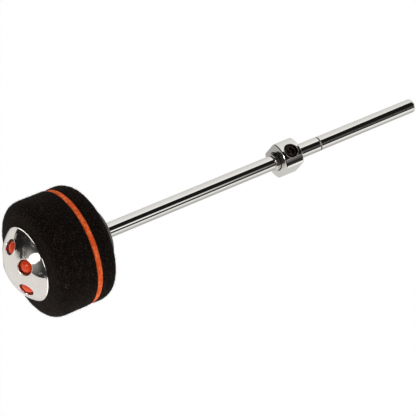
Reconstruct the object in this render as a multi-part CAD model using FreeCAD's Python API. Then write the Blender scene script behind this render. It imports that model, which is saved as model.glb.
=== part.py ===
"""Bass drum beater: a chromed shaft with a clamped felt head and a sliding stop collar.

Millimetres. The origin is on the shaft's axis at the shoulder line where the thin tail begins.
+Z runs along the shaft to the head. Angles round the shaft are measured from -Y towards +X.
"""
import FreeCAD, Part
import math
import os

# Shaft
shaft_radius = 4.1
shaft_length = 145.5          # from the shoulder line to the rear washer
tail_step = 0.1               # how much thinner the tail is, on the radius
tail_length = 67.9
tail_round = 1.8
line_width = 0.9              # the fine turned line at the shoulder
line_depth = 0.25
spigot_radius = 3.0           # threaded end that carries the head
spigot_past_nut = 0.8
spigot_chamfer = 0.5

# Stop collar
collar_place = 17.3           # tailward face, from the shoulder line
collar_radius = 10.0
collar_length = 12.0
collar_flats = 15.5           # across the two flats
collar_round = 0.7
collar_turn = 14.0            # where the set screw looks, in degrees
neck_wall = 0.85
neck_length = 3.0
neck_round = 0.45
running_clearance = 0.05      # collar bore round the shaft

# Set screw
screw_radius = 3.85
screw_length = 5.0
screw_edge = 0.7
screw_gap = 0.1               # from the screw's tip to the shaft
screw_clearance = 0.05
screw_sink = 0.25             # width of the countersink at the hole's mouth
socket_flats = 3.8
socket_depth = 2.6
cup_radius = 2.0
cup_depth = 0.7

# Head stack, from the rear to the front
washer_radius = 15.5
washer_height = 2.5
washer_round = 0.9
sleeve_wall = 2.9
spigot_clearance = 0.1        # every bore round the spigot
felt_clearance = 0.1          # felt bore round the sleeve
head_radius = 31.8
rear_felt_height = 15.0
rear_crown = 6.7              # how far the rear face rises to the washer's seat
rear_round = 7.0
ring_height = 3.3
ring_inset = 0.5              # the orange edge lies under the black felt's edge
ring_round = 0.6
front_felt_height = 22.2
front_crown = 1.5
front_round = 6.7
seam_round = 0.5              # soft edges on both sides of the orange layer
seat_margin = 0.4             # felt seats are this much wider than what sits on them
round_limit_share = 0.9       # most of a wall that a rounding may use

# Clamp inside the cap
plate_height = 1.5
lock_height = 1.6
lock_wall = 2.7
lock_split = 0.9
nut_flats = 10.0
nut_height = 5.0
nut_chamfer_rise = 0.6

# Cap and its studs
rim_radius = 20.4
rim_skirt = 0.9
rim_round = 1.2               # where the dome turns down into the skirt
cap_wall = 1.2
cap_headroom = 1.4            # from the spigot's end to the inside of the cap
cap_clearance = 0.1           # plate and carrier inside the cap
stud_count = 5
stud_radius = 3.7
stud_crown = 1.7
stud_sink = 1.7               # the stud's edge lies this far below the cap's skin
stud_foot = 3.9               # from the cap's skin to the bottom of the stem
stud_polar = 30.2             # angle from the shaft's axis, at the centre of the cap's sphere
stud_turn = -6.0              # where the first stud looks, in degrees
stud_hole_gap = 0.45
stud_hole_round = 0.35        # outer edge of the stud holes
stud_pocket_gap = 0.05
carrier_nut_gap = 0.6

# Construction
cut_overrun = 1.0             # cuts run this far past what they cut
match = 0.001                 # two places closer than this are the same

# Worked out from the values above
tail_radius = shaft_radius - tail_step
sleeve_bore = spigot_radius + spigot_clearance
sleeve_radius = sleeve_bore + sleeve_wall
felt_bore = sleeve_radius + felt_clearance
rear_felt_z = shaft_length + washer_height
ring_z = rear_felt_z + rear_felt_height
front_felt_z = ring_z + ring_height
plate_z = front_felt_z + front_felt_height
lock_z = plate_z + plate_height
nut_z = lock_z + lock_height
spigot_end_z = nut_z + nut_height + spigot_past_nut
cap_top_z = spigot_end_z + cap_headroom + cap_wall
dome_height = cap_top_z - plate_z - rim_skirt
dome_radius = (rim_radius ** 2 + dome_height ** 2) / (2 * dome_height)
dome_centre_z = cap_top_z - dome_radius
dome_inner_radius = dome_radius - cap_wall
screw_z = collar_place + collar_length / 2
hexagon_share = 1 / math.cos(math.pi / 6)   # corner over flat of a hexagon

axis_z = FreeCAD.Vector(0, 0, 1)
centre = FreeCAD.Vector(0, 0, 0)


def at(radius, height):
    """A point of a turned outline."""
    return FreeCAD.Vector(radius, 0, height)


def looking(angle):
    """Unit vector square to the shaft at an angle round it."""
    turn = math.radians(angle)
    return FreeCAD.Vector(math.sin(turn), -math.cos(turn), 0)


def turn_edges(edges):
    """Solid of revolution about the shaft from the edges of a closed outline."""
    return Part.Face(Part.Wire(edges)).revolve(centre, axis_z, 360)


def turn_outline(points):
    """Solid of revolution from straight runs through (radius, height) points."""
    corners = [at(radius, height) for radius, height in points]
    return turn_edges(Part.makePolygon(corners + corners[:1]).Edges)


def cylinder(radius, low, high):
    """Upright cylinder on the shaft's axis."""
    return Part.makeCylinder(radius, high - low, at(0, low), axis_z)


def tube(inner, outer, low, high):
    """Plain ring on the shaft's axis."""
    return turn_outline([(inner, low), (outer, low), (outer, high), (inner, high)])


def round_circle(solid, radius, height, size):
    """Rounds the circular edges of that radius and height."""
    picked = [edge for edge in solid.Edges
              if not edge.Degenerated and isinstance(edge.Curve, Part.Circle)
              and abs(edge.Curve.Radius - radius) < match
              and abs(edge.Curve.Center.z - height) < match]
    return solid.makeFillet(size, picked)


def hexagon_prism(flats, low, high):
    """Upright hexagonal bar on the shaft's axis."""
    reach = flats / 2 * hexagon_share
    corners = [at(0, low) + looking(60 * step) * reach for step in range(6)]
    face = Part.Face(Part.makePolygon(corners + corners[:1]))
    return face.extrude(axis_z * (high - low))


def aimed(solid, place, direction):
    """Moves a solid made along +Z from the origin so that it starts at a place and points a way."""
    turned = solid.copy()
    turned.Placement = FreeCAD.Placement(place, FreeCAD.Rotation(axis_z, direction))
    return turned


def crown_round(wanted, fall, run, wall):
    """Largest rounding, up to the wanted one, that fits where a sloping face meets the wall."""
    slope = math.atan2(fall, run)
    tangent = math.tan((math.pi / 2 - slope) / 2)
    shorter = min(math.hypot(fall, run), wall)
    return min(wanted, round_limit_share * shorter / tangent)


def make_shaft():
    """One turned rod: round-ended tail, shoulder line, main shaft and the spigot for the head."""
    line_radius = tail_radius - line_depth
    shaft = turn_outline([
        (0, -tail_length),
        (tail_radius, -tail_length),
        (tail_radius, 0),
        (line_radius, 0),
        (line_radius, line_width),
        (shaft_radius, line_width),
        (shaft_radius, shaft_length),
        (spigot_radius, shaft_length),
        (spigot_radius, spigot_end_z - spigot_chamfer),
        (spigot_radius - spigot_chamfer, spigot_end_z),
        (0, spigot_end_z),
    ])
    return round_circle(shaft, tail_radius, -tail_length, tail_round)


def make_stop_collar():
    """Turned collar with a neck, two flats, a bore and the set screw's countersunk hole."""
    bore = shaft_radius + running_clearance
    neck_radius = bore + neck_wall
    low = collar_place
    high = low + collar_length
    top = high + neck_length
    collar = turn_outline([
        (bore, low),
        (collar_radius, low),
        (collar_radius, high),
        (neck_radius, high),
        (neck_radius, top),
        (bore, top),
    ])
    collar = round_circle(collar, collar_radius, low, collar_round)
    collar = round_circle(collar, collar_radius, high, collar_round)
    collar = round_circle(collar, neck_radius, top, neck_round)
    side = looking(collar_turn)
    flat_way = looking(collar_turn + 90)
    span = 2 * collar_radius + 2 * cut_overrun
    for way in (flat_way, flat_way * -1):
        block = Part.makeBox(span, span, span, FreeCAD.Vector(-span / 2, -span / 2, 0))
        collar = collar.cut(aimed(block, at(0, screw_z) + way * (collar_flats / 2), way))
    hole = screw_radius + screw_clearance
    collar = collar.cut(Part.makeCylinder(hole, collar_radius + cut_overrun, at(0, screw_z), side))
    sink = Part.makeCone(hole, hole + 2 * screw_sink, 2 * screw_sink)
    return collar.cut(aimed(sink, at(0, screw_z) + side * (collar_radius - screw_sink), side))


def make_set_screw():
    """Headless screw, aimed at the shaft, with a hexagon socket outside and a cup point inside."""
    screw = turn_outline([
        (0, cup_depth),
        (cup_radius, 0),
        (screw_radius - screw_edge, 0),
        (screw_radius, screw_edge),
        (screw_radius, screw_length - screw_edge),
        (screw_radius - screw_edge, screw_length),
        (0, screw_length),
    ])
    socket = hexagon_prism(socket_flats, screw_length - socket_depth, screw_length + cut_overrun)
    side = looking(collar_turn)
    return aimed(screw.cut(socket), at(0, screw_z) + side * (shaft_radius + screw_gap), side)


def make_rear_washer():
    """Thick disc that the shaft's shoulder pushes against the rear felt, rounded at the rear edge."""
    washer = tube(sleeve_bore, washer_radius, shaft_length, rear_felt_z)
    return round_circle(washer, washer_radius, shaft_length, washer_round)


def make_rear_felt():
    """Rear felt block: raised to the washer's seat, then rounded into the head's wall."""
    seat = washer_radius + seat_margin
    corner_z = rear_felt_z + rear_crown
    felt = turn_outline([
        (felt_bore, rear_felt_z),
        (seat, rear_felt_z),
        (head_radius, corner_z),
        (head_radius, ring_z),
        (felt_bore, ring_z),
    ])
    wall = rear_felt_height - rear_crown - seam_round
    size = crown_round(rear_round, rear_crown, head_radius - seat, wall)
    felt = round_circle(felt, head_radius, corner_z, size)
    return round_circle(felt, head_radius, ring_z, seam_round)


def make_orange_felt_ring():
    """Thin felt layer between the blocks, with a soft edge that lies a little inside them."""
    radius = head_radius - ring_inset
    ring = tube(felt_bore, radius, ring_z, front_felt_z)
    ring = round_circle(ring, radius, ring_z, ring_round)
    return round_circle(ring, radius, front_felt_z, ring_round)


def make_front_felt():
    """Front felt block: flat under the cap's rim, then sloped and rounded into the head's wall."""
    seat = rim_radius + seat_margin
    corner_z = plate_z - front_crown
    felt = turn_outline([
        (felt_bore, front_felt_z),
        (head_radius, front_felt_z),
        (head_radius, corner_z),
        (seat, plate_z),
        (felt_bore, plate_z),
    ])
    wall = front_felt_height - front_crown - seam_round
    size = crown_round(front_round, front_crown, head_radius - seat, wall)
    felt = round_circle(felt, head_radius, corner_z, size)
    return round_circle(felt, head_radius, front_felt_z, seam_round)


def make_core_sleeve():
    """Spacer tube that carries the clamp force past the felt."""
    return tube(sleeve_bore, sleeve_radius, rear_felt_z, plate_z)


def dome_span(radius, height):
    """Radius of the cap's inside, less the clearance, at a height."""
    return math.sqrt((radius - cap_clearance) ** 2 - (height - dome_centre_z) ** 2)


def make_clamp_plate():
    """Plate that presses on the front felt and fills the cap's mouth."""
    return tube(sleeve_bore, dome_span(dome_inner_radius, lock_z), plate_z, lock_z)


def make_lock_washer():
    """Split spring washer under the nut."""
    outer = sleeve_bore + lock_wall
    washer = tube(sleeve_bore, outer, lock_z, nut_z)
    slot = Part.makeBox(lock_split, outer + cut_overrun, lock_height + 2 * cut_overrun,
                        FreeCAD.Vector(-lock_split / 2, 0, lock_z - cut_overrun))
    return washer.cut(slot)


def make_clamp_nut():
    """Hexagon nut with its corners turned off at both ends."""
    low, high = nut_z, nut_z + nut_height
    corner = nut_flats / 2 * hexagon_share
    inner = nut_flats / 2
    turned = turn_outline([
        (sleeve_bore, low),
        (inner, low),
        (corner, low + nut_chamfer_rise),
        (corner, high - nut_chamfer_rise),
        (inner, high),
        (sleeve_bore, high),
    ])
    return turned.common(hexagon_prism(nut_flats, low, high))


def stud_way(number):
    """Unit vector from the centre of the cap's sphere to a stud."""
    polar = math.radians(stud_polar)
    side = looking(stud_turn + 360 * number / stud_count)
    return side * math.sin(polar) + axis_z * math.cos(polar)


def stud_edge_height():
    """Distance from the sphere's centre to the stud's edge, which lies inside the cap's hole."""
    return math.sqrt(dome_radius ** 2 - stud_radius ** 2) - stud_sink


def make_dome_cap():
    """Spherical shell that rounds down into a short skirt, with a round-edged hole for each stud."""
    foot = math.sqrt(dome_inner_radius ** 2 - (plate_z - dome_centre_z) ** 2)
    half = math.asin(rim_radius / dome_radius) / 2
    inner_half = math.asin(foot / dome_inner_radius) / 2

    def on_sphere(radius, angle):
        return at(radius * math.sin(angle), dome_centre_z + radius * math.cos(angle))

    top, inner_top = at(0, cap_top_z), at(0, cap_top_z - cap_wall)
    skirt_low, skirt_high = at(rim_radius, plate_z), at(rim_radius, plate_z + rim_skirt)
    cap = turn_edges([
        Part.LineSegment(at(foot, plate_z), skirt_low).toShape(),
        Part.LineSegment(skirt_low, skirt_high).toShape(),
        Part.Arc(skirt_high, on_sphere(dome_radius, half), top).toShape(),
        Part.LineSegment(top, inner_top).toShape(),
        Part.Arc(inner_top, on_sphere(dome_inner_radius, inner_half), at(foot, plate_z)).toShape(),
    ])
    cap = round_circle(cap, rim_radius, plate_z + rim_skirt, rim_round)
    hole = stud_radius + stud_hole_gap
    drill = Part.makeCylinder(hole, dome_radius + cut_overrun)
    middle = at(0, dome_centre_z)
    for number in range(stud_count):
        cap = cap.cut(aimed(drill, middle, stud_way(number)))
    mouths = [edge for edge in cap.Edges
              if abs(edge.Length - 2 * math.pi * hole) < match
              and abs(edge.Vertexes[0].Point.distanceToPoint(middle) - dome_radius) < match]
    return cap.makeFillet(stud_hole_round, mouths)


def make_stud(number):
    """Round stud: a stem in the carrier's pocket and a crowned head that shows in the cap's hole."""
    high = stud_edge_height()
    low = dome_radius - stud_foot
    crown_radius = (stud_radius ** 2 + stud_crown ** 2) / (2 * stud_crown)
    half = math.asin(stud_radius / crown_radius) / 2
    middle = at(crown_radius * math.sin(half), high + stud_crown - crown_radius * (1 - math.cos(half)))
    edge, top = at(stud_radius, high), at(0, high + stud_crown)
    stud = turn_edges([
        Part.LineSegment(at(0, low), at(stud_radius, low)).toShape(),
        Part.LineSegment(at(stud_radius, low), edge).toShape(),
        Part.Arc(edge, middle, top).toShape(),
        Part.LineSegment(top, at(0, low)).toShape(),
    ])
    return aimed(stud, at(0, dome_centre_z), stud_way(number))


def make_stud_carrier():
    """Moulded ring that stands on the plate, fills the cap round the nut and holds the studs' stems."""
    inner = nut_flats / 2 * hexagon_share + carrier_nut_gap
    ring = cylinder(dome_span(dome_inner_radius, lock_z), lock_z, cap_top_z)
    ball = Part.makeSphere(dome_inner_radius - cap_clearance, at(0, dome_centre_z))
    carrier = ring.common(ball).cut(cylinder(inner, lock_z - cut_overrun, cap_top_z))
    floor = dome_radius - stud_foot
    pocket = Part.makeCylinder(stud_radius + stud_pocket_gap, dome_radius - floor, at(0, floor))
    for number in range(stud_count):
        carrier = carrier.cut(aimed(pocket, at(0, dome_centre_z), stud_way(number)))
    return carrier


def make_parts():
    """Every piece by its node's name."""
    parts = {
        "shaft": make_shaft(),
        "stop_collar": make_stop_collar(),
        "set_screw": make_set_screw(),
        "rear_washer": make_rear_washer(),
        "rear_felt": make_rear_felt(),
        "orange_felt_ring": make_orange_felt_ring(),
        "front_felt": make_front_felt(),
        "core_sleeve": make_core_sleeve(),
        "clamp_plate": make_clamp_plate(),
        "lock_washer": make_lock_washer(),
        "clamp_nut": make_clamp_nut(),
        "stud_carrier": make_stud_carrier(),
        "dome_cap": make_dome_cap(),
    }
    for number in range(stud_count):
        parts[f"stud_{number + 1}"] = make_stud(number)
    return parts


def main():
    os.makedirs("parts", exist_ok=True)
    for name, shape in make_parts().items():
        if not shape.isValid() or len(shape.Solids) != 1:
            raise ValueError(f"{name} is not one valid solid")
        shape.Solids[0].exportStep(f"parts/{name}.step")
        print(name, round(shape.Volume, 1))


main()
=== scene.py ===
"""Looks of the bass drum beater: felt, chrome, cap, studs, set screw and a plain studio.

Metres, in the packed model's frame: the shaft's axis is Z and the head is at +Z. Angles round the
shaft are counted from -Y towards +X, as in the part's source. The tables here give them in degrees.
"""
import math

import bmesh
import bpy
from bpy.props import FloatProperty, FloatVectorProperty, IntProperty, PointerProperty
from mathutils import Matrix, Vector


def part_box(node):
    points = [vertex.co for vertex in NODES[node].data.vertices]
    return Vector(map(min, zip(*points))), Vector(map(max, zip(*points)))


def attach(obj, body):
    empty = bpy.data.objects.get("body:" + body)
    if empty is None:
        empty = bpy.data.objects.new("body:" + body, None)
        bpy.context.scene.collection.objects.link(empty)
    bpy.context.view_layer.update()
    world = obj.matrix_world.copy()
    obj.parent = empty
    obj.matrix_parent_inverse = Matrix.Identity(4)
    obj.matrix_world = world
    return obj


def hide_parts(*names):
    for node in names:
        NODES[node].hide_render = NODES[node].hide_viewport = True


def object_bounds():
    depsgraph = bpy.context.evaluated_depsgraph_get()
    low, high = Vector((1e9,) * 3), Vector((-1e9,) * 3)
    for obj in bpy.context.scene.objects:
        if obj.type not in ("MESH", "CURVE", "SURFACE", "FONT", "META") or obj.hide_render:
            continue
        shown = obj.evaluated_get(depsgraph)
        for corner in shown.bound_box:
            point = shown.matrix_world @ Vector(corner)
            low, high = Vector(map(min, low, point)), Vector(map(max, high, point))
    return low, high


bl_info = {
    "name": "Drum Beater Looks",
    "version": (1, 0, 0),
    "blender": (4, 5, 0),
    "location": "3D View > Sidebar > Beater",
    "description": "Dresses the packed bass drum beater and sets its studio",
    "category": "Object",
}

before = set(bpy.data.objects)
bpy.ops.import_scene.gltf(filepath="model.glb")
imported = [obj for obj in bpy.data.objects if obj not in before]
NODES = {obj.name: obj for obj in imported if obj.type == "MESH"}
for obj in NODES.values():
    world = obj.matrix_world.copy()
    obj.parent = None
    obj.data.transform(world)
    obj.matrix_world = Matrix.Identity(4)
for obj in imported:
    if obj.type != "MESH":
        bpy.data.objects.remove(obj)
CAD_BOX = [list(corner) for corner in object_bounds()]
STUDS = sorted(name for name in NODES if name.startswith("stud_") and name != "stud_carrier")
CLAMP_STEEL = ("core_sleeve", "clamp_plate", "lock_washer", "clamp_nut")
WHITE = (1, 1, 1, 1)

# The photograph in pixels: its width, its middle, the focal length and the place that it is set by
PICTURE_WIDTH = 416
PICTURE_MIDDLE = 207.5
FOCAL_LENGTH = 2100
AIM_ACROSS = 112.0
AIM_DOWN = 228.3

# Patterns of the finishes: (features in a metre, levels of finer detail, weight of that detail)
HAZE = (90, 3, 0.5)
HANDLING_MARKS = (900, 4, 0.7)
HAIRLINES = (5000, 2, 0.5)
LATHE_LINES = (3500, 2, 0.5)
WORN_COATING = (420, 4, 0.6)
WOOL_MOTTLE = (190, 3, 0.6)
WOOL_FIBRES = (1350, 3, 0.75)
WOOL_PATCHES = (560, 3, 0.65)
PLASTIC_SKIN = (700, 3, 0.5)
PLASTIC_FLOW = (160, 2, 0.5)
FLOOR_GRAIN = (30, 3, 0.5)

# Ranges of the patterns that count, and what they do to the wool
WEAR_RANGE = (0.1, 0.5)
STREAK_RANGE = (0.5, 0.7)
COATING_RANGE = (0.25, 0.75)
SKIN_RANGE = (0.3, 0.7)
WOOL_RANGE = (0.2, 0.8)
FIBRE_RANGE = (0.50, 0.75)
PATCH_RANGE = (0.42, 0.66)
WOOL_ROUGHNESS = (0.86, 0.98)
MOTTLE_SHARES = (0.55, 1.0)
MOTTLE_RELIEF_SHARE = 0.4

# Wiped smears: their turn in radians, how many lie in a metre along each axis, and their finer detail
WIPE_TURN = (0.4, 0.2, 0.7)
WIPE_SCALE = (220, 900, 500)
WIPE_DETAIL = (3, 0.6)

# Relief of the finishes: (depth, strength)
HAIRLINE_RELIEF = (0.000002, 0.25)
LATHE_RELIEF = (0.00001, 0.4)
WOOL_RELIEF = (0.0003, 0.7)
SKIN_RELIEF = (0.00002, 0.3)

# Roughness of the places that are not bright chrome
LINE_ROUGHNESS = 0.5
SATIN_ROUGHNESS = 0.16
CORNER_SHADE_ROUGHNESS = 0.6
SINK_ROUGHNESS = 0.42

# Where painted marks start to fade and end, as shares of the sizes that they follow
LINE_SHARES = (0.5, 0.58)
CORNER_SHADE_SHARES = (1.0, 1.25)
CORNER_SHADE_RISE_SHARES = (0.5, 0.75)
SINK_SHARES = (1.0, 1.03)
LIP_SHARES = (1.09, 1.12)

# A loose fibre: its bend and its end as shares of its length, its end's share of its width, how far
# it may lean in radians, and its least and greatest share of the usual size
BEND_SHARE = 0.55
END_OUT_SHARE = 0.55
END_UP_SHARE = 0.7
END_WIDTH_SHARE = 0.25
FIBRE_LEAN = 1.35
GROWTH_SHARES = (0.45, 1.25)
LUMP_DETAIL = (3.0, 0.6)

# What metal mirrors, level by level: (height of the level, ((angle round the shaft, brightness), ...))
SURROUNDINGS = (
    (-0.35, (
        (-180, 0.9), (-170, 0.9), (-166, 0.62), (-152, 0.63), (-132, 0.44), (-112, 0.47), (-96, 0.64),
        (-84, 0.78), (-75, 0.9), (-69, 1.05), (-65, 1.0), (-61.5, 0.03), (-39, 0.02), (-36.5, 1.0),
        (-21.5, 1.0), (-18.5, 0.012), (37, 0.008), (41, 0.95), (50, 0.96), (62, 0.86), (75, 0.8),
        (96, 0.79), (115, 0.71), (135, 0.7), (160, 0.68), (163, 0.08), (177, 0.05), (180, 0.9))),
    (0.05, (
        (-180, 0.7), (-130, 0.75), (-105, 2.2), (-62, 2.2), (-57, 0.06), (-28, 0.05), (-25, 2.2),
        (-4, 2.2), (0, 0.02), (46, 0.02), (50, 2.2), (118, 2.2), (128, 0.75), (180, 0.7))),
    (0.28, (
        (-180, 0.77), (-70.5, 0.77), (-67.5, 0.02), (-45, 0.03), (-15, 0.03), (40, 0.02), (75, 0.012),
        (110, 0.014), (127.5, 0.02), (130.5, 0.77), (180, 0.77))),
    (0.75, (
        (-180, 0.77), (-70.5, 0.77), (-67.5, 0.025), (0, 0.05), (40, 0.05), (70, 0.03), (100, 0.012),
        (127.5, 0.015), (130.5, 0.77), (180, 0.77))),
    (0.95, (
        (-180, 0.77), (-70.5, 0.77), (-67.5, 0.08), (-20, 0.25), (20, 0.4), (50, 0.36), (75, 0.12),
        (100, 0.05), (127.5, 0.05), (130.5, 0.77), (180, 0.77))),
)
RING_PEAK = 2.2

# Cards that only metal sees: (angles of the lower edge, angles of the upper edge, heights of the lower
# edge, of the fade's start and of the upper edge, brightness before and after the fade)
CARDS = (
    ((-38, -20), (-38, -20), (-0.42, -0.172, -0.02), (0.07, 1.0)),
    ((-66, -50.5), (-66, -63), (-0.45, -0.26, -0.25), (1.0, 1.0)),
    ((36.5, 57), (36.5, 39), (-0.42, -0.23, -0.22), (0.01, 0.01)),
)

# Middle of an area lamp in the lamp's own coordinates, which go from 0 to 1
LAMP_MIDDLE = (0.5, 0.5, 0)


def NumberProperty(name, description, default, **more):
    """A plain number. It and the kinds of settings below are named as bpy.props names its own."""
    return FloatProperty(name=name, description=description, default=default, **more)


def LengthProperty(name, description, default, least=0.0):
    return NumberProperty(name, description, default, min=least, subtype="DISTANCE", unit="LENGTH")


def AngleProperty(name, description, degrees):
    return NumberProperty(
        name, description, math.radians(degrees), subtype="ANGLE", unit="ROTATION")


def ShareProperty(name, description, default):
    return NumberProperty(name, description, default, min=0, max=1, subtype="FACTOR")


def SpanProperty(name, description, default):
    """Two lengths between which a finish changes."""
    return FloatVectorProperty(
        name=name, description=description, default=default, size=2, unit="LENGTH")


def ColourProperty(name, description, default):
    return FloatVectorProperty(
        name=name, description=description, default=default, size=3, min=0, max=1, subtype="COLOR")


class FeltSettings(bpy.types.PropertyGroup):
    """Colours and nap of the felt head."""

    black: ColourProperty("Black felt", "Colour of the two thick felt blocks", (0.0026, 0.0016, 0.0013))
    black_light: ColourProperty(
        "Black felt fibres", "Paler fibres in the black felt", (0.0540, 0.0375, 0.0285))
    black_sheen: ColourProperty(
        "Black felt sheen", "Tint of the black felt's dry sheen", (0.09, 0.07, 0.06))
    orange: ColourProperty("Orange felt", "Colour of the thin felt layer", (0.62, 0.062, 0.010))
    orange_light: ColourProperty(
        "Orange felt fibres", "Paler fibres in the orange felt", (1.0, 0.25, 0.075))
    orange_sheen: ColourProperty(
        "Orange felt sheen", "Tint of the orange felt's dry sheen", (1.0, 0.45, 0.2))
    grid: LengthProperty("Surface grid", "Size of the felt surface's faces", 0.0007, least=0.0002)
    lump_height: LengthProperty("Lump height", "How uneven the pressed surface is", 0.0006)
    lump_size: LengthProperty("Lump size", "Distance between lumps", 0.0022, least=0.0005)
    fibre_length: LengthProperty("Fibre length", "Length of a loose fibre", 0.0011)
    fibre_width: LengthProperty("Fibre width", "Thickness of a loose fibre at its root", 0.00005)
    fibre_density: NumberProperty("Fibre density", "Loose fibres on a square metre", 1.3e6, min=0)
    seat_fade: LengthProperty(
        "Seat fade", "Width of pressed felt round the cap and the washer", 0.002, least=0.0001)
    seam_fade: LengthProperty(
        "Seam fade", "Width of pressed felt beside the orange layer", 0.0003, least=0.0001)
    seed: IntProperty(name="Seed", description="Pattern of the loose fibres", default=7, min=0)


class HeadSettings(bpy.types.PropertyGroup):
    """Rounded forms of the felt head that the node boxes do not give."""

    seat_margin: LengthProperty("Seat margin", "Flat felt round the washer and the cap", 0.0004)
    bore: LengthProperty("Felt bore", "Radius of the hole round the core sleeve", 0.0061)
    front_crown: LengthProperty("Front crown", "Fall of the front face to its edge", 0.0015)
    front_round: LengthProperty("Front rounding", "Rounding of the front edge", 0.0067)
    rear_crown: LengthProperty("Rear crown", "Rise of the rear face to the washer", 0.0067)
    rear_round: LengthProperty("Rear rounding", "Rounding of the rear edge", 0.007)
    seam_round: LengthProperty("Seam rounding", "Soft edges beside the orange layer", 0.0005)


class CollarSettings(bpy.types.PropertyGroup):
    """Finish of the stop collar and of the shaft's shoulder line, with the shade, highlight and
    reflection painted on them.
    """

    neck_length: LengthProperty("Neck length", "From the collar's end face to the neck's end", 0.003)
    neck_radius: LengthProperty("Neck radius", "Outer radius of the neck", 0.005)
    # Painted shade on the turned end: how bright it is against the plating, and how much of that shade
    # the side towards -X keeps, so the end is darker towards +X
    satin_and_shade: ShareProperty("Satin share", "Brightness of the turned end against the plating", 0.53)
    end_shade_least: ShareProperty("Least satin", "How much of that satin the darker side has", 0.35)
    end_shade_across: SpanProperty(
        "Satin across", "Where along X the satin starts to grow and is complete", (-0.006, 0.003))
    satin_depth: SpanProperty(
        "Satin depth", "How far below the end face the satin starts and is complete",
        (0.00005, 0.00001))
    # Painted dark reflection on the rounding of the end face's edge: where it starts and ends below the
    # face, and from where it shows on the screw's side
    edge_reflection_from: SpanProperty(
        "Worn from", "How far below the end face the worn edge starts and is complete",
        (0.00072, 0.0006))
    edge_reflection_to: SpanProperty(
        "Worn to", "How far below the end face the worn edge fades and ends", (0.00035, 0.00022))
    edge_reflection_side: SpanProperty(
        "Worn side", "How far towards the screw the worn edge starts and is complete", (0.006, 0.0072))
    # Painted shade in the screw hole and its countersink: its radius
    sink: LengthProperty("Blackened sink", "Radius of the blackened metal round the set screw", 0.00405)
    # Painted shade in the corner under the collar's neck: its width
    corner_shade: LengthProperty("Grime width", "Width of the dirt under the neck", 0.0004)
    line_width: LengthProperty("Line width", "Width of the shaft's shoulder line", 0.0009)
    # Painted highlight on one side of the shoulder line: which way it faces, how far to that side it
    # starts and where it is palest
    line_highlight_turn: AngleProperty(
        "Line rubbed", "Where the line is rubbed pale, round the shaft from -Y", -8)
    line_highlight_side: SpanProperty(
        "Line side", "How far to that side the line starts to be pale and is palest", (0.0034, 0.0038))


class ScrewSettings(bpy.types.PropertyGroup):
    """Sizes of the threaded set screw."""

    turn: AngleProperty("Direction", "Where the screw looks, round the shaft from -Y", 14)
    tip: LengthProperty("Tip", "Distance from the shaft's axis to the cup point", 0.0042)
    radius: LengthProperty("Radius", "Outer radius of the thread", 0.00385)
    length: LengthProperty("Length", "From the cup point to the socket's face", 0.005)
    pitch: LengthProperty("Pitch", "Rise of one turn of thread", 0.00125)
    thread_depth: LengthProperty("Thread depth", "From crest to root", 0.0006)
    edge: LengthProperty("Edge", "Chamfer at both ends", 0.0007)
    socket_flats: LengthProperty("Socket flats", "Across the hexagon socket", 0.0038)
    socket_depth: LengthProperty("Socket depth", "Depth of the hexagon socket", 0.0026)
    cup_radius: LengthProperty("Cup radius", "Edge of the cup point", 0.002)
    cup_depth: LengthProperty("Cup depth", "Hollow of the cup point", 0.0007)


class CapSettings(bpy.types.PropertyGroup):
    """Form of the domed cap and the painted shade on its studs."""

    skirt: LengthProperty("Skirt", "Height of the straight rim under the dome", 0.0009)
    # Painted shade on the studs where they sink below the cap's skin: where it starts, where it is
    # darkest and how much it hides
    recess_shade_from: LengthProperty(
        "Dirt from", "How far below the cap's skin a stud starts to be dirty", 0.0005)
    recess_shade_to: LengthProperty("Dirt to", "How far below the cap's skin a stud is dirtiest", 0.0019)
    recess_shade_share: ShareProperty("Dirt share", "How much of the plastic the dirt hides there", 0.55)


class FinishSettings(bpy.types.PropertyGroup):
    """Colours of the metal and plastic pieces, and of the shade, highlight and reflection painted on
    them.
    """

    chrome: ColourProperty("Chrome", "Plating of the shaft and the collar", (0.88, 0.857, 0.812))
    cap: ColourProperty("Cap chrome", "Plating of the domed cap", (0.90, 0.848, 0.79))
    # Colour of the painted highlight on one side of the shoulder line, then the brown of the line
    # elsewhere
    line: ColourProperty("Shoulder line", "Bare metal in the fine turned line", (0.46, 0.42, 0.35))
    tarnish: ColourProperty("Tarnish", "Brown of the line where nothing rubs it", (0.10, 0.094, 0.078))
    # Colour of the painted shade in the corner under the collar's neck
    corner_shade: ColourProperty("Grime", "Dirt in the corner under the collar's neck", (0.012, 0.011, 0.010))
    # Colour of the painted shade in the screw hole and of the painted dark reflection on the collar's
    # edge
    hole: ColourProperty(
        "Screw hole", "Blackened metal round the set screw and at the worn edge", (0.035, 0.033, 0.030))
    washer: ColourProperty("Washer", "Dark coating of the rear washer", (0.13, 0.125, 0.12))
    screw: ColourProperty("Set screw", "Blackened steel of the set screw", (0.10, 0.075, 0.062))
    stud: ColourProperty("Studs", "Orange plastic of the studs", (0.58, 0.049, 0.011))
    # Colour of the painted shade on the studs' sunken edges
    recess_shade: ColourProperty("Dirt", "Dirt round the studs", (0.10, 0.012, 0.006))
    steel: ColourProperty("Plain steel", "Zinced pieces of the clamp", (0.56, 0.56, 0.57))
    carrier: ColourProperty(
        "Stud carrier", "Moulded plastic, black with a red cast", (0.09, 0.018, 0.008))


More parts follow.
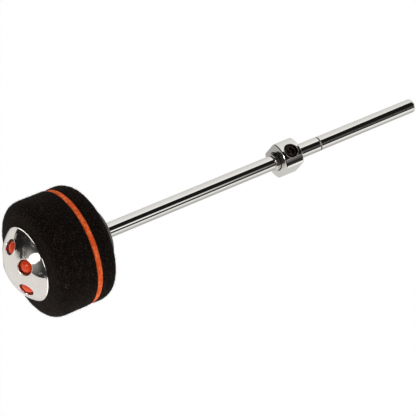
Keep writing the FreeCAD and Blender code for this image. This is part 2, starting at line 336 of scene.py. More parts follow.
class StageSettings(bpy.types.PropertyGroup):
    """Camera, floor and light."""

    tilt: AngleProperty("Tilt", "How far the shaft leans out of the picture", 28.13)
    roll: AngleProperty("Roll", "How far the shaft rises across the picture", 22.69)
    aim: LengthProperty("Aim height", "Place on the shaft's axis that the picture is set by", 0.1367)
    aim_x: NumberProperty(
        "Aim across", "How far right of the picture's centre that place lies, in picture widths",
        (AIM_ACROSS - PICTURE_MIDDLE) / PICTURE_WIDTH)
    aim_y: NumberProperty(
        "Aim up", "How far above the picture's centre that place lies, in picture widths",
        (PICTURE_MIDDLE - AIM_DOWN) / PICTURE_WIDTH)
    distance: LengthProperty("Distance", "From the camera to that place", 1.1024)
    picture_angle: NumberProperty(
        "Picture width", "Width of the picture at one metre", PICTURE_WIDTH / FOCAL_LENGTH)
    floor_drop: LengthProperty("Floor drop", "From the shaft's tail down to the floor", 0.3)
    floor_radius: LengthProperty("Floor radius", "Radius of the round floor", 6.0)
    floor_tones: FloatVectorProperty(
        name="Floor tones", description="Darkest and palest grey of the floor's grain",
        default=(0.92, 0.95), size=2, min=0, max=1)
    floor_glow: ShareProperty(
        "Floor glow", "How much of the floor the camera sees as plain white", 0.95)
    card_distance: LengthProperty("Card distance", "From the shaft to the mirror cards", 0.26)
    twist: AngleProperty("Ring twist", "How fast the mirrored ring's left side turns with height", 43)
    twist_from: ShareProperty(
        "Ring twist from", "Level above which it turns, 1 being straight up", 0.62)
    soft_level: NumberProperty("Soft light", "Light from all sides", 0.42, min=0)
    soft_side: NumberProperty(
        "Soft side", "How much more of that light comes from one side", 6.0, min=0)
    soft_turn: AngleProperty("Soft direction", "Where that side is, round the shaft from -Y", -127)
    key_power: NumberProperty(
        "Key lamp", "Power of the oval lamp", 14.4, min=0, subtype="POWER", unit="POWER")
    key_turn: AngleProperty("Key direction", "Where the lamp stands, round the shaft from -Y", 11)
    key_rise: AngleProperty("Key rise", "How high the lamp stands", 62)
    key_distance: LengthProperty("Key distance", "From the head to the lamp", 1.0)
    key_width: LengthProperty("Key width", "Short way across the oval lamp", 0.46)
    key_height: LengthProperty("Key height", "Long way across the oval lamp", 0.66)
    key_fall: NumberProperty(
        "Key fall", "How fast the lamp fades from its middle to its edge", 3.0, min=0)


def looking(angle):
    """Unit vector square to the shaft at an angle round it, in radians."""
    return Vector((math.sin(angle), -math.cos(angle), 0))


def screw_height():
    """Height of the set screw's axis."""
    low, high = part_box("set_screw")
    return (low[2] + high[2]) / 2


def sized(size, shares):
    """Shares of a size as sizes."""
    return [size * share for share in shares]


def rgba(colour, level=1.0):
    """A colour as four values, made lighter or darker."""
    return (*(part * level for part in colour), 1.0)


class Graph:
    """A node tree in the making: each call adds nodes, sets their inputs and links them."""

    def __init__(self, tree):
        self.tree = tree
        self.shader = tree.nodes.get("Principled BSDF")

    def feed(self, socket, value):
        if isinstance(value, bpy.types.NodeSocket):
            self.tree.links.new(value, socket)
        else:
            socket.default_value = value

    def add(self, kind, inputs=(), **settings):
        node = self.tree.nodes.new(kind)
        for name, value in settings.items():
            setattr(node, name, value)
        for key, value in dict(inputs).items():
            self.feed(node.inputs[key], value)
        return node

    def out(self, kind, inputs=(), **settings):
        """Adds a node and gives its first output."""
        return self.add(kind, inputs, **settings).outputs[0]

    def math(self, operation, *values):
        return self.out("ShaderNodeMath", enumerate(values), operation=operation)

    def times(self, first, second):
        return self.math("MULTIPLY", first, second)

    def vector(self, operation, *vectors):
        return self.out("ShaderNodeVectorMath", enumerate(vectors), operation=operation)

    def measure(self, operation, *vectors):
        """One number from vectors, such as their product or their distance."""
        node = self.add("ShaderNodeVectorMath", enumerate(vectors), operation=operation)
        return node.outputs["Value"]

    def spread(self, value, low, high, to_low=0.0, to_high=1.0):
        """Maps a range of a value smoothly to another range."""
        return self.out("ShaderNodeMapRange", enumerate((value, low, high, to_low, to_high)),
                        interpolation_type="SMOOTHSTEP")

    def fall(self, value, start, end):
        """Goes from 1 to 0 while a value goes from a start to an end."""
        return self.spread(value, start, end, 1.0, 0.0)

    def blend(self, share, first, second):
        """Mixes two colours."""
        node = self.add("ShaderNodeMix", {0: share, 6: first, 7: second}, data_type="RGBA")
        return node.outputs[2]

    def shades(self, share, colour, darkest, lightest):
        """Varies one colour between two levels of it."""
        return self.blend(share, rgba(colour, darkest), rgba(colour, lightest))

    def noise(self, vector, scale, detail, roughness):
        return self.out("ShaderNodeTexNoise", {
            "Vector": vector, "Scale": scale, "Detail": detail, "Roughness": roughness})

    def bump(self, height, distance, strength):
        return self.out("ShaderNodeBump", {
            "Height": height, "Distance": distance, "Strength": strength})

    def place(self):
        """Coordinates of the piece."""
        return self.add("ShaderNodeTexCoord").outputs["Object"]

    def parts(self, vector):
        """The three numbers of a vector."""
        return self.add("ShaderNodeSeparateXYZ", {0: vector}).outputs

    def turned(self):
        """Coordinates that are the same all round the shaft, then the radius and the height alone."""
        x, y, height = self.parts(self.place())
        radius = self.math("SQRT", self.math("ADD", self.times(x, x), self.times(y, y)))
        return self.out("ShaderNodeCombineXYZ", {0: radius, 1: height}), radius, height

    def paint(self, **values):
        """Feeds the shader's sockets."""
        for name, value in values.items():
            self.feed(self.shader.inputs[name.replace("_", " ")], value)

    def stain(self, share, colour):
        """Lays a colour over a share of what already colours the shader."""
        socket = self.shader.inputs["Base Color"]
        self.feed(socket, self.blend(share, socket.links[0].from_socket, rgba(colour)))

    def roughen(self, share, level):
        """Makes a share of the surface at least as rough as a level."""
        socket = self.shader.inputs["Roughness"]
        under = socket.links[0].from_socket
        self.feed(socket, self.math("MAXIMUM", under, self.times(share, level)))

    def glow(self, kind, strength, colour=WHITE):
        """A shader that shines."""
        return self.out(f"ShaderNode{kind}", {"Color": colour, "Strength": strength})

    def either(self, share, first, second):
        """Mixes two shaders."""
        return self.out("ShaderNodeMixShader", enumerate((share, first, second)))

    def seen(self):
        """1 for what the camera sees, also through glass."""
        path = self.add("ShaderNodeLightPath").outputs
        return self.math("MAXIMUM", path["Is Camera Ray"], path["Is Transmission Ray"])


def new_material(name, **constants):
    """A material with its shader's constants set, and its graph."""
    material = bpy.data.materials.new(name)
    material.use_nodes = True
    graph = Graph(material.node_tree)
    graph.paint(**constants)
    return material, graph


def stage_material(name):
    """A material without a shader yet, and its graph."""
    material = new_material(name)[0]
    material.node_tree.nodes.clear()
    return material, Graph(material.node_tree)


def chrome_material(name, colour, smooth=0.02, dull=0.06, smears=0.05, wipe=1.0):
    """Bright plating: mirror with handling marks, wiped smears, hairlines and a breath of haze."""
    material, graph = new_material(name, Metallic=1.0)
    place = graph.place()
    haze = graph.noise(place, *HAZE)
    wear = graph.times(haze, graph.noise(place, *HANDLING_MARKS))
    wiped = graph.out("ShaderNodeMapping", {
        "Vector": place, "Rotation": WIPE_TURN, "Scale": WIPE_SCALE})
    streaks = graph.spread(graph.noise(wiped, wipe, *WIPE_DETAIL), *STREAK_RANGE, 0.0, smears)
    lines = graph.noise(graph.turned()[0], *HAIRLINES)
    graph.paint(
        Base_Color=graph.shades(haze, colour, darkest=0.95, lightest=1.03),
        Roughness=graph.math("ADD", graph.spread(wear, *WEAR_RANGE, smooth, dull), streaks),
        Normal=graph.bump(lines, *HAIRLINE_RELIEF))
    return material


def shaft_material(finish, collar):
    """Chrome with a tarnished ring in the turned shoulder line, and a pale painted highlight on one
    side of it.
    """
    material = chrome_material("shaft_chrome", finish.chrome)
    graph = Graph(material.node_tree)
    width = collar.line_width
    off = graph.math("ABSOLUTE", graph.math("SUBTRACT", graph.turned()[2], width / 2))
    line = graph.fall(off, *sized(width, LINE_SHARES))
    front = graph.measure("DOT_PRODUCT", graph.place(), looking(collar.line_highlight_turn))
    graph.stain(line, finish.tarnish)
    # Painted highlight: the line is pale on one side round the shaft, as if lit there
    graph.stain(graph.times(line, graph.spread(front, *collar.line_highlight_side)), finish.line)
    graph.roughen(line, LINE_ROUGHNESS)
    graph.paint(Metallic=graph.math("SUBTRACT", 1.0, line))
    return material


def collar_material(finish, collar, screw_turn):
    """Chrome with a rougher turned end darkened by painted shade, a painted dark reflection along its
    front edge, and painted shade under the neck and in the screw hole.
    """
    material = chrome_material("collar_chrome", finish.chrome)
    graph = Graph(material.node_tree)
    place = graph.place()
    _, radius, height = graph.turned()
    side = looking(screw_turn)
    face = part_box("stop_collar")[1][2] - collar.neck_length

    def below_face(depths):
        return [face - depth for depth in depths]

    # Painted shade: the end face is darker than the plating, and darker towards +X; its roughness is
    # that of the turned finish
    satin_and_shade = graph.spread(height, *below_face(collar.satin_depth))
    across = graph.spread(graph.parts(place)[0], *collar.end_shade_across, collar.end_shade_least, 1.0)
    graph.stain(graph.times(satin_and_shade, across), Vector(finish.chrome) * collar.satin_and_shade)
    graph.roughen(satin_and_shade, SATIN_ROUGHNESS)

    # Painted shade in the corner where the neck meets the end face, with rougher plating there
    from_neck = graph.math("SUBTRACT", radius, collar.neck_radius)
    above_face = graph.math("SUBTRACT", height, face)
    corner = graph.times(graph.fall(from_neck, *sized(collar.corner_shade, CORNER_SHADE_SHARES)),
                         graph.fall(above_face, *sized(collar.corner_shade, CORNER_SHADE_RISE_SHARES)))
    recess_shade = graph.times(corner, satin_and_shade)
    graph.stain(recess_shade, finish.corner_shade)
    graph.roughen(recess_shade, CORNER_SHADE_ROUGHNESS)

    # Painted dark reflection on part of the edge rounding, on the screw's side of the collar
    edge = graph.times(graph.spread(height, *below_face(collar.edge_reflection_from)),
                       graph.fall(height, *below_face(collar.edge_reflection_to)))
    front = graph.measure("DOT_PRODUCT", place, side)
    graph.stain(graph.times(edge, graph.spread(front, *collar.edge_reflection_side)), finish.hole)

    # Painted shade in the screw hole and its countersink, on the screw's side beyond the neck; a thin
    # ring just outside it is rougher
    from_middle = graph.vector("SUBTRACT", place, (0, 0, screw_height()))
    from_axis = graph.measure("LENGTH", graph.vector("CROSS_PRODUCT", from_middle, side))
    outside = graph.math(
        "GREATER_THAN", graph.measure("DOT_PRODUCT", from_middle, side), collar.neck_radius)
    hole = graph.times(graph.fall(from_axis, *sized(collar.sink, SINK_SHARES)), outside)
    lip = graph.times(graph.fall(from_axis, *sized(collar.sink, LIP_SHARES)), outside)
    graph.stain(hole, finish.hole)
    graph.roughen(lip, SINK_ROUGHNESS)
    return material


def felt_material(name, dark, light, tint, sheen, patches):
    """Pressed wool: mottled colour, paler patches, fine matted fibres and a dry sheen."""
    material, graph = new_material(
        name, Specular_IOR_Level=0.05, Sheen_Weight=sheen, Sheen_Roughness=0.5,
        Sheen_Tint=rgba(tint))
    place = graph.place()
    mottle = graph.noise(place, *WOOL_MOTTLE)
    fibres = graph.noise(place, *WOOL_FIBRES)
    pale = graph.spread(graph.noise(place, *WOOL_PATCHES), *PATCH_RANGE, 0.0, patches)
    share = graph.times(graph.spread(mottle, *WOOL_RANGE, *MOTTLE_SHARES),
                        graph.spread(fibres, *FIBRE_RANGE))
    matted = graph.math("ADD", fibres, graph.times(mottle, MOTTLE_RELIEF_SHARE))
    graph.paint(
        Base_Color=graph.blend(graph.math("MAXIMUM", share, pale), rgba(dark), rgba(light)),
        Roughness=graph.spread(fibres, *WOOL_RANGE, *WOOL_ROUGHNESS),
        Normal=graph.bump(matted, *WOOL_RELIEF))
    return material


def coated_material(name, colour, metallic, smooth, dull, coat=0.0):
    """Dark coating or plain metal with fine lathe lines."""
    material, graph = new_material(
        name, Metallic=metallic, Coat_Weight=coat, Coat_Roughness=0.2)
    worn = graph.noise(graph.place(), *WORN_COATING)
    lines = graph.noise(graph.turned()[0], *LATHE_LINES)
    graph.paint(
        Base_Color=graph.shades(worn, colour, darkest=0.75, lightest=1.3),
        Roughness=graph.spread(worn, *COATING_RANGE, smooth, dull),
        Normal=graph.bump(lines, *LATHE_RELIEF))
    return material


def plastic_material(name, colour, smooth, dull):
    """Moulded plastic with a slight skin and uneven gloss."""
    material, graph = new_material(name, Specular_IOR_Level=0.25)
    place = graph.place()
    skin = graph.noise(place, *PLASTIC_SKIN)
    flow = graph.noise(place, *PLASTIC_FLOW)
    graph.paint(
        Base_Color=graph.shades(flow, colour, darkest=0.86, lightest=1.12),
        Roughness=graph.spread(skin, *SKIN_RANGE, smooth, dull),
        Normal=graph.bump(skin, *SKIN_RELIEF))
    return material


def stud_material(finish, cap):
    """Glossy plastic, browner below the cap's skin: painted shade on the sunken edges of the studs."""
    material = plastic_material("stud_plastic", finish.stud, smooth=0.07, dull=0.12)
    graph = Graph(material.node_tree)
    low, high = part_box("dome_cap")
    rise = high[2] - low[2] - cap.skirt
    skin = (high[0] ** 2 + rise ** 2) / (2 * rise)
    # Painted shade: the studs are browner where they sink below the cap's skin
    reach = graph.measure("DISTANCE", graph.place(), (0, 0, high[2] - skin))
    deep = graph.spread(reach, skin - cap.recess_shade_to, skin - cap.recess_shade_from, cap.recess_shade_share, 0.0)
    graph.stain(deep, finish.recess_shade)
    return material


def dress(names, material):
    """Gives CAD nodes a finish."""
    for name in names:
        mesh = NODES[name].data
        mesh.materials.clear()
        mesh.materials.append(material)


def new_object(name, data):
    """Puts new data in the scene."""
    thing = bpy.data.objects.new(name, data)
    bpy.context.scene.collection.objects.link(thing)
    return thing


def new_piece(name, mesh, body, slot, *nodes):
    """Puts a mesh in the scene as a piece that rides on a body and stands for CAD nodes."""
    piece = new_object(name, mesh)
    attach(piece, body)
    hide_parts(*nodes)
    return piece


def mesh_from_shape(name, shape):
    """Turns a finished bmesh into a mesh."""
    mesh = bpy.data.meshes.new(name)
    shape.to_mesh(mesh)
    shape.free()
    return mesh


def mesh_from_loops(name, loops, closed):
    """Skins loops of equal length with quads. Its ends get fans when closed, and else join up."""
    shape = bmesh.new()
    rows = [[shape.verts.new(point) for point in loop] for loop in loops]
    count = len(rows[0])
    for low, high in zip(rows, rows[1:] if closed else rows[1:] + rows[:1]):
        for step in range(count):
            after = (step + 1) % count
            shape.faces.new((low[step], low[after], high[after], high[step]))
    if closed:
        for row in (rows[0], rows[-1]):
            middle = shape.verts.new(sum((vert.co for vert in row), Vector()) / count)
            for step in range(count):
                shape.faces.new((row[step], row[(step + 1) % count], middle))
    bmesh.ops.recalc_face_normals(shape, faces=shape.faces)
    return mesh_from_shape(name, shape)


def rounded_outline(corners, spacing):
    """Points along an outline of (radius, height, rounding) corners, a spacing apart when curved."""
    points = []
    for number, (radius, height, rounding) in enumerate(corners):
        here = Vector((radius, height))
        if rounding == 0:
            points.append(here)
            continue
        before = Vector(corners[number - 1][:2]) - here
        after = Vector(corners[(number + 1) % len(corners)][:2]) - here
        half = before.angle(after) / 2
        middle = here + (before.normalized() + after.normalized()).normalized() * (
            rounding / math.sin(half))
        start = here + before.normalized() * rounding / math.tan(half) - middle
        end = here + after.normalized() * rounding / math.tan(half) - middle
        steps = max(3, math.ceil(rounding * (math.pi - 2 * half) / spacing))
        for step in range(steps + 1):
            points.append(middle + start.slerp(end, step / steps) * rounding)
    return points


def divided(points, spacing, reach):
    """Divides the runs of a closed outline that lie outside a radius."""
    fine = []
    for here, after in zip(points, points[1:] + points[:1]):
        outside = min(here.x, after.x) >= reach
        steps = max(1, math.ceil((after - here).length / spacing)) if outside else 1
        fine.extend(here.lerp(after, step / steps) for step in range(steps))
    return fine


def felt_mesh(name, corners, seat, seams, felt):
    """Turned felt block. Its nap attribute is 1 where the felt is open and 0 where it is pressed."""
    outline = divided(rounded_outline(corners, felt.grid), felt.grid, seat)
    radius = max(point.x for point in outline)
    count = round(2 * math.pi * radius / felt.grid)
    loops = [[looking(2 * math.pi * step / count) * point.x + Vector((0, 0, point.y))
              for step in range(count)] for point in outline]
    mesh = mesh_from_loops(name, loops, closed=False)
    nap = mesh.attributes.new("nap", "FLOAT", "POINT")
    for vert, cell in zip(mesh.vertices, nap.data):
        wide = (math.hypot(vert.co.x, vert.co.y) - seat) / felt.seat_fade
        clear = min(abs(vert.co.z - height) for height in seams) / felt.seam_fade
        cell.value = max(0.0, min(1.0, wide, clear))
    mesh.shade_smooth()
    return mesh


def felt_nap_tree():
    """Geometry nodes that make a turned block uneven and cover it with loose fibres."""
    tree = bpy.data.node_groups.new("felt_nap", "GeometryNodeTree")
    for name, kind in (("Geometry", "Geometry"), ("Lump height", "Float"), ("Lump size", "Float"),
                       ("Fibre length", "Float"), ("Fibre width", "Float"),
                       ("Fibre density", "Float"), ("Seed", "Int"), ("Felt", "Material")):
        tree.interface.new_socket(name, in_out="INPUT", socket_type=f"NodeSocket{kind}")
    tree.interface.new_socket("Geometry", in_out="OUTPUT", socket_type="NodeSocketGeometry")
    graph = Graph(tree)
    sizes = graph.add("NodeGroupInput").outputs
    nap = graph.out("GeometryNodeInputNamedAttribute", {"Name": "nap"}, data_type="FLOAT")

    lumps = graph.math("DIVIDE", 1.0, sizes["Lump size"])
    waves = graph.noise(graph.out("GeometryNodeInputPosition"), lumps, *LUMP_DETAIL)
    height = graph.times(graph.math("SUBTRACT", waves, 0.5), sizes["Lump height"])
    offset = graph.out("ShaderNodeVectorMath", {
        0: graph.out("GeometryNodeInputNormal"), "Scale": graph.times(height, nap)}, operation="SCALE")
    block = graph.out("GeometryNodeSetPosition", {"Geometry": sizes["Geometry"], "Offset": offset})

    points = graph.add("GeometryNodeDistributePointsOnFaces", {
        "Mesh": block, "Density": graph.times(sizes["Fibre density"], nap),
        "Seed": sizes["Seed"]}, distribute_method="RANDOM").outputs
    length = sizes["Fibre length"]
    bend = graph.out("ShaderNodeCombineXYZ", {2: graph.times(length, BEND_SHARE)})
    tip = graph.out("ShaderNodeCombineXYZ", {
        0: graph.times(length, END_OUT_SHARE), 2: graph.times(length, END_UP_SHARE)})
    curl = graph.out("GeometryNodeCurveQuadraticBezier", {
        "Resolution": 3, "Start": (0, 0, 0), "Middle": bend, "End": tip})
    ring = graph.out("GeometryNodeCurvePrimitiveCircle", {
        "Resolution": 3, "Radius": graph.times(sizes["Fibre width"], 0.5)})
    along = graph.add("GeometryNodeSplineParameter").outputs["Factor"]
    fibre = graph.out("GeometryNodeCurveToMesh", {
        "Curve": curl, "Profile Curve": ring,
        "Scale": graph.spread(along, 0.0, 1.0, 1.0, END_WIDTH_SHARE)})
    lean = graph.out("FunctionNodeRandomValue", {
        0: (-FIBRE_LEAN, -FIBRE_LEAN, -math.pi), 1: (FIBRE_LEAN, FIBRE_LEAN, math.pi),
        "Seed": sizes["Seed"]}, data_type="FLOAT_VECTOR")
    turn = graph.out("FunctionNodeRotateRotation", {
        "Rotation": points["Rotation"],
        "Rotate By": graph.out("FunctionNodeEulerToRotation", {0: lean})}, rotation_space="LOCAL")
    growth = graph.add("FunctionNodeRandomValue", {
        2: GROWTH_SHARES[0], 3: GROWTH_SHARES[1],
        "Seed": graph.math("ADD", sizes["Seed"], 1)}, data_type="FLOAT").outputs[1]
    fibres = graph.out("GeometryNodeInstanceOnPoints", {
        "Points": points["Points"], "Instance": fibre, "Rotation": turn, "Scale": growth})
    whole = graph.add("GeometryNodeJoinGeometry")
    for part in (fibres, block):
        tree.links.new(part, whole.inputs[0])
    solid = graph.out("GeometryNodeRealizeInstances", {"Geometry": whole.outputs[0]})
    painted = graph.out("GeometryNodeSetMaterial", {"Geometry": solid, "Material": sizes["Felt"]})
    graph.add("NodeGroupOutput", {0: painted})
    return tree


def grow_nap(mesh, tree, values):
    """Runs the nap tree on a felt block and gives the result as a plain mesh."""
    block = new_object(mesh.name, mesh)
    nodes = block.modifiers.new("nap", "NODES")
    nodes.node_group = tree
    for socket in tree.interface.items_tree:
        if socket.in_out == "INPUT" and socket.name in values:
            nodes[socket.identifier] = values[socket.name]
    view = bpy.context.evaluated_depsgraph_get()
    grown = bpy.data.meshes.new_from_object(block.evaluated_get(view), depsgraph=view)
    block.modifiers.clear()
    bpy.data.objects.remove(block)
    grown.attributes.remove(grown.attributes["nap"])
    return grown


class BEATER_OT_stage(bpy.types.Operator):
    """Sets the camera, the floor, the lamp and the reflected surroundings"""
    bl_idname = "beater.stage"
    bl_label = "Stage"

    def execute(self, context):
        stage = context.scene.beater_stage
        context.scene.view_settings.view_transform = "Standard"
        self.set_camera(context.scene, stage)
        self.set_world(context.scene, stage)
        self.set_lamp(stage)
        self.set_floor(stage)
        self.set_cards(stage)
        return {"FINISHED"}

    def set_camera(self, scene, stage):
        """Looks at the shaft as the photograph does."""
        lean, turn = stage.tilt, stage.roll
        right = Vector((-math.sin(turn), -math.cos(turn) * math.sin(lean),
                        -math.cos(turn) * math.cos(lean)))
        back = Vector((0, -math.cos(lean), math.sin(lean)))
        up = back.cross(right)
        width = stage.distance * stage.picture_angle
        place = (Vector((0, 0, stage.aim)) + back * stage.distance
                 - right * width * stage.aim_x - up * width * stage.aim_y)
        lens = bpy.data.cameras.new("camera")
        lens.lens = lens.sensor_width / stage.picture_angle
        lens.clip_start = 0.01
        camera = new_object("camera", lens)
        camera.matrix_world = Matrix.Translation(place) @ Matrix(
            (right, up, back)).transposed().to_4x4()
        scene.camera = camera

    def set_world(self, scene, stage):
        """White to the camera, soft to matt surfaces, and a ring of bright and dark to metal."""
        world = bpy.data.worlds.new("studio")
        scene.world = world
        world.use_nodes = True
        world.node_tree.nodes.clear()
        graph = Graph(world.node_tree)
        way = graph.add("ShaderNodeTexCoord").outputs["Generated"]
        room = self.mirrored_room(graph, way, stage)
        aside = graph.measure("DOT_PRODUCT", way, looking(stage.soft_turn))
        sided = graph.times(graph.math("MAXIMUM", aside, 0.0), stage.soft_side)
        soft = graph.glow(
            "Background", graph.times(graph.math("ADD", 1.0, sided), stage.soft_level))
        plain = graph.either(graph.seen(), soft, graph.glow("Background", 1.0))
        glossy = graph.add("ShaderNodeLightPath").outputs["Is Glossy Ray"]
        whole = graph.either(glossy, plain, graph.glow("Background", RING_PEAK, room))
        graph.add("ShaderNodeOutputWorld", {"Surface": whole})

    def mirrored_room(self, graph, way, stage):
        """Colours of the mirrored ring, level by level. Its left side is twisted towards the top."""
        x, y, height = graph.parts(way)
        angle = graph.math("ARCTAN2", x, graph.times(y, -1.0))
        lift = graph.math("MAXIMUM", graph.math("SUBTRACT", height, stage.twist_from), 0.0)
        lift = graph.times(lift, graph.math("LESS_THAN", angle, 0.0))
        angle = graph.math("ADD", angle, graph.times(lift, stage.twist))
        share = graph.math("ADD", graph.math("DIVIDE", angle, 2 * math.pi), 0.5)
        room, below = None, None
        for level, stops in SURROUNDINGS:
            ramp = graph.add("ShaderNodeValToRGB", {0: share})
            elements = ramp.color_ramp.elements
            while len(elements) < len(stops):
                elements.new(1.0)
            for element, (turn, brightness) in zip(elements, stops):
                element.position = (turn + 180) / 360
                element.color = rgba((brightness / RING_PEAK,) * 3)
            ring = ramp.outputs["Color"]
            room = graph.blend(graph.spread(height, below, level), room, ring) if room else ring
            below = level
        return room

    def set_lamp(self, stage):
        """One oval lamp in front of the head, which fades to its edge. Its spot shows on the cap."""
        light = bpy.data.lights.new("key_lamp", "AREA")
        light.shape = "ELLIPSE"
        light.size = stage.key_width
        light.size_y = stage.key_height
        light.energy = stage.key_power
        light.use_nodes = True
        graph = Graph(light.node_tree)
        place = graph.add("ShaderNodeNewGeometry").outputs["Parametric"]
        outward = graph.times(graph.measure("DISTANCE", place, LAMP_MIDDLE), 2.0)
        inside = graph.math("SUBTRACT", 1.0, graph.times(outward, outward))
        graph.feed(light.node_tree.nodes["Emission"].inputs["Strength"],
                   graph.math("POWER", graph.math("MAXIMUM", inside, 0.0), stage.key_fall))
        way = looking(stage.key_turn) * math.cos(stage.key_rise)
        way.z = math.sin(stage.key_rise)
        head = Vector((0, 0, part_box("dome_cap")[1][2]))
        new_object("key_lamp", light).matrix_world = Matrix.Translation(
            head + way * stage.key_distance) @ way.to_track_quat("Z", "Y").to_matrix().to_4x4()

    def set_floor(self, stage):
        """Wide pale floor that metal does not mirror, because the ring stands for it there."""
        shape = bmesh.new()
        bmesh.ops.create_circle(shape, cap_ends=True, radius=stage.floor_radius, segments=96)
        bmesh.ops.translate(shape, verts=shape.verts,
                            vec=(0, 0, CAD_BOX[0][2] - stage.floor_drop))
        mesh = mesh_from_shape("floor", shape)
        material, graph = stage_material("pale_floor")
        grain = graph.noise(graph.place(), *FLOOR_GRAIN)
        tones = [rgba((tone,) * 3) for tone in stage.floor_tones]
        matt = graph.out("ShaderNodeBsdfDiffuse", {"Color": graph.blend(grain, *tones)})
        whole = graph.either(
            graph.times(graph.seen(), stage.floor_glow), matt, graph.glow("Emission", 1.0))
        graph.add("ShaderNodeOutputMaterial", {"Surface": whole})
        mesh.materials.append(material)
        floor = new_object("floor", mesh)
        floor.visible_glossy = False

    def set_cards(self, stage):
        """Cards that only metal sees, which change its bright and dark bands towards the tail."""
        away = stage.card_distance
        for number, (below, above, (low, fade_from, high), glows) in enumerate(CARDS):
            left, right, upper_left, upper_right = (
                away * math.tan(math.radians(turn)) for turn in (*below, *above))
            name = f"mirror_card_{number + 1}"
            mesh = bpy.data.meshes.new(name)
            mesh.from_pydata([(left, -away, low), (right, -away, low), (upper_right, -away, high),
                              (upper_left, -away, high)], [], [(0, 1, 2, 3)])
            material, graph = stage_material(name)
            fade = graph.spread(graph.parts(graph.place())[2], fade_from, high, *glows)
            graph.add("ShaderNodeOutputMaterial", {"Surface": graph.glow("Emission", fade)})
            mesh.materials.append(material)
            card = new_object(name, mesh)
            card.visible_camera = card.visible_diffuse = card.visible_shadow = False
            card.visible_transmission = False


class BEATER_OT_shaft(bpy.types.Operator):
    """Plates the shaft, dulls its shoulder line and paints a highlight on one side of the line"""
    bl_idname = "beater.shaft"
    bl_label = "Shaft"

    def execute(self, context):
        scene = context.scene
        dress(["shaft"], shaft_material(scene.beater_finish, scene.beater_collar))
        return {"FINISHED"}


class BEATER_OT_stop_collar(bpy.types.Operator):
    """Plates the stop collar, dulls its end and paints shade and a dark reflection on it"""
    bl_idname = "beater.stop_collar"
    bl_label = "Stop collar"

    def execute(self, context):
        scene = context.scene
        dress(["stop_collar"], collar_material(
            scene.beater_finish, scene.beater_collar, scene.beater_screw.turn))
        return {"FINISHED"}


class BEATER_OT_set_screw(bpy.types.Operator):
    """Makes the threaded set screw with its socket and cup point"""
    bl_idname = "beater.set_screw"
    bl_label = "Set screw"

    points_round = 72
    rows_in_a_turn = 8
    sharp_angle = math.radians(35)
    groove_floor = 1.3
    groove_slope = 3.2
    pit_share = 0.04
    mouth_share = 1.06
    lip_share = 0.2

    def execute(self, context):
        screw = context.scene.beater_screw
        mesh = mesh_from_loops("set_screw", self.loops(screw), closed=True)
        mesh.shade_smooth()
        mesh.set_sharp_from_angle(angle=self.sharp_angle)
        mesh.materials.append(coated_material(
            "blackened_steel", context.scene.beater_finish.screw, metallic=1.0, smooth=0.22, dull=0.4))
        new_piece("threaded_set_screw", mesh, "screw", "black_steel", "set_screw")
        return {"FINISHED"}

    def loops(self, screw):
        """Loops from the hollow of the cup point along the thread and down into the socket."""
        up = Vector((0, 0, 1))
        side = looking(screw.turn)
        across = up.cross(side)
        foot = side * screw.tip + up * screw_height()

        def loop(height, radius_at):
            points = []
            for step in range(self.points_round):
                angle = 2 * math.pi * step / self.points_round
                radius = radius_at(angle)
                points.append(foot + side * height + across * radius * math.cos(angle)
                              + up * radius * math.sin(angle))
            return points

        def thread(height):
            def radius_at(angle):
                turn = (height / screw.pitch - angle / (2 * math.pi)) % 1
                cut = min(1.0, max(0.0, self.groove_floor - abs(turn - 0.5) * self.groove_slope))
                end = max(0.0, screw.edge - height, screw.edge - (screw.length - height))
                return screw.radius - max(screw.thread_depth * cut, end)
            return radius_at

        def hexagon(angle):
            corner = (angle + math.pi / 6) % (math.pi / 3) - math.pi / 6
            return screw.socket_flats / 2 / math.cos(corner)

        rows = self.rows_in_a_turn * math.ceil(screw.length / screw.pitch)
        heights = [screw.length * row / rows for row in range(rows + 1)]
        floor = screw.length - screw.socket_depth
        return [loop(screw.cup_depth, lambda angle: screw.cup_radius * self.pit_share),
                loop(0, lambda angle: screw.cup_radius),
                *(loop(height, thread(height)) for height in heights),
                loop(screw.length, lambda angle: hexagon(angle) * self.mouth_share),
                loop(screw.length - screw.edge * self.lip_share, hexagon),
                loop(floor, hexagon),
                loop(floor - screw.edge, lambda angle: screw.socket_flats * self.pit_share)]


class BEATER_OT_rear_washer(bpy.types.Operator):
    """Coats the rear washer"""
    bl_idname = "beater.rear_washer"
    bl_label = "Rear washer"

    def execute(self, context):
        dress(["rear_washer"], coated_material(
            "dark_coating", context.scene.beater_finish.washer,
            metallic=0.0, smooth=0.25, dull=0.4, coat=0.6))
        return {"FINISHED"}


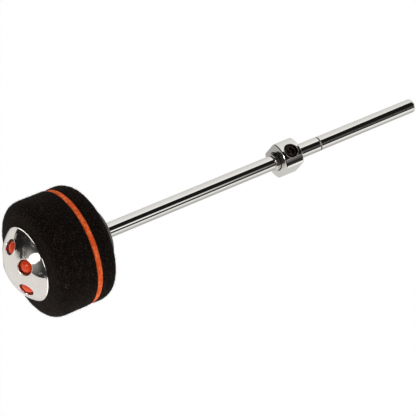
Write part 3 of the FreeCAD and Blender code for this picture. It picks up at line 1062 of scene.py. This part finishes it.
class BEATER_OT_felt_head(bpy.types.Operator):
    """Makes the three felt layers of the head with their nap"""
    bl_idname = "beater.felt_head"
    bl_label = "Felt head"

    def execute(self, context):
        felt, head = context.scene.beater_felt, context.scene.beater_head
        tree = felt_nap_tree()
        black = felt_material("black_felt_wool", felt.black, felt.black_light, felt.black_sheen,
                              sheen=0.2, patches=0.0)
        orange = felt_material("orange_felt_wool", felt.orange, felt.orange_light, felt.orange_sheen,
                               sheen=0.35, patches=0.6)
        for number, (node, corners, seat, wool, slot) in enumerate((
                ("rear_felt", *self.rear(head), black, "black_felt"),
                ("orange_felt_ring", *self.ring(head), orange, "orange_felt"),
                ("front_felt", *self.front(head), black, "black_felt"))):
            low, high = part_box(node)
            block = felt_mesh(f"{node}_block", corners, seat, (low[2], high[2]), felt)
            mesh = grow_nap(block, tree, {
                "Lump height": felt.lump_height, "Lump size": felt.lump_size,
                "Fibre length": felt.fibre_length, "Fibre width": felt.fibre_width,
                "Fibre density": felt.fibre_density, "Seed": felt.seed + 10 * number,
                "Felt": wool})
            piece = new_piece(f"{node}_wool", mesh, "beater", slot, node)
        return {"FINISHED"}

    def rear(self, head):
        """Outline and seat of the rear block."""
        low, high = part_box("rear_felt")
        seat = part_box("rear_washer")[1][0] + head.seat_margin
        return [(head.bore, low[2], 0), (seat, low[2], 0),
                (high[0], low[2] + head.rear_crown, head.rear_round),
                (high[0], high[2], head.seam_round), (head.bore, high[2], 0)], seat

    def ring(self, head):
        """Outline and seat of the orange layer."""
        low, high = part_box("orange_felt_ring")
        seat = high[0] - 2 * head.seam_round
        return [(head.bore, low[2], 0), (seat, low[2], 0), (high[0], low[2], head.seam_round),
                (high[0], high[2], head.seam_round), (seat, high[2], 0),
                (head.bore, high[2], 0)], seat

    def front(self, head):
        """Outline and seat of the front block."""
        low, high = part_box("front_felt")
        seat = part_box("dome_cap")[1][0] + head.seat_margin
        return [(head.bore, low[2], 0), (high[0], low[2], head.seam_round),
                (high[0], high[2] - head.front_crown, head.front_round),
                (seat, high[2], 0), (head.bore, high[2], 0)], seat


class BEATER_OT_cap(bpy.types.Operator):
    """Plates the domed cap and colours its studs, with painted shade on their sunken edges"""
    bl_idname = "beater.cap"
    bl_label = "Cap and studs"

    def execute(self, context):
        finish = context.scene.beater_finish
        dress(["dome_cap"], chrome_material(
            "cap_chrome_plate", finish.cap, smooth=0.03, dull=0.08, smears=0.3, wipe=0.6))
        dress(STUDS, stud_material(finish, context.scene.beater_cap))
        return {"FINISHED"}


class BEATER_OT_clamp(bpy.types.Operator):
    """Finishes the clamp pieces inside the head"""
    bl_idname = "beater.clamp"
    bl_label = "Clamp inside"

    def execute(self, context):
        finish = context.scene.beater_finish
        dress(CLAMP_STEEL, coated_material(
            "zinced_steel", finish.steel, metallic=1.0, smooth=0.28, dull=0.42))
        dress(["stud_carrier"], plastic_material(
            "carrier_plastic", finish.carrier, smooth=0.35, dull=0.55))
        return {"FINISHED"}


class BEATER_PT_panel(bpy.types.Panel):
    """Lists the pieces and their settings in the 3D view's sidebar"""
    bl_idname = "BEATER_PT_panel"
    bl_label = "Drum beater"
    bl_space_type = "VIEW_3D"
    bl_region_type = "UI"
    bl_category = "Beater"

    def draw(self, context):
        for operator in OPERATORS:
            self.layout.operator(operator.bl_idname)
        for name, group in SETTINGS.items():
            box = self.layout.box()
            box.label(text=group.__doc__)
            for setting in group.__annotations__:
                box.prop(getattr(context.scene, name), setting)


SETTINGS = {
    "beater_felt": FeltSettings,
    "beater_head": HeadSettings,
    "beater_collar": CollarSettings,
    "beater_screw": ScrewSettings,
    "beater_cap": CapSettings,
    "beater_finish": FinishSettings,
    "beater_stage": StageSettings,
}
OPERATORS = (
    BEATER_OT_stage, BEATER_OT_shaft, BEATER_OT_stop_collar, BEATER_OT_set_screw,
    BEATER_OT_rear_washer, BEATER_OT_felt_head, BEATER_OT_cap, BEATER_OT_clamp,
)


def register():
    for group in SETTINGS.values():
        bpy.utils.register_class(group)
    for name, group in SETTINGS.items():
        setattr(bpy.types.Scene, name, PointerProperty(type=group))
    for operator in OPERATORS:
        bpy.utils.register_class(operator)
    bpy.utils.register_class(BEATER_PT_panel)


def unregister():
    bpy.utils.unregister_class(BEATER_PT_panel)
    for operator in reversed(OPERATORS):
        bpy.utils.unregister_class(operator)
    for name in SETTINGS:
        delattr(bpy.types.Scene, name)
    for group in reversed(SETTINGS.values()):
        bpy.utils.unregister_class(group)


def main():
    register()
    bpy.ops.beater.stage()
    bpy.ops.beater.shaft()
    bpy.ops.beater.stop_collar()
    bpy.ops.beater.set_screw()
    bpy.ops.beater.rear_washer()
    bpy.ops.beater.felt_head()
    bpy.ops.beater.cap()
    bpy.ops.beater.clamp()


if __name__ == "__main__":
    main()
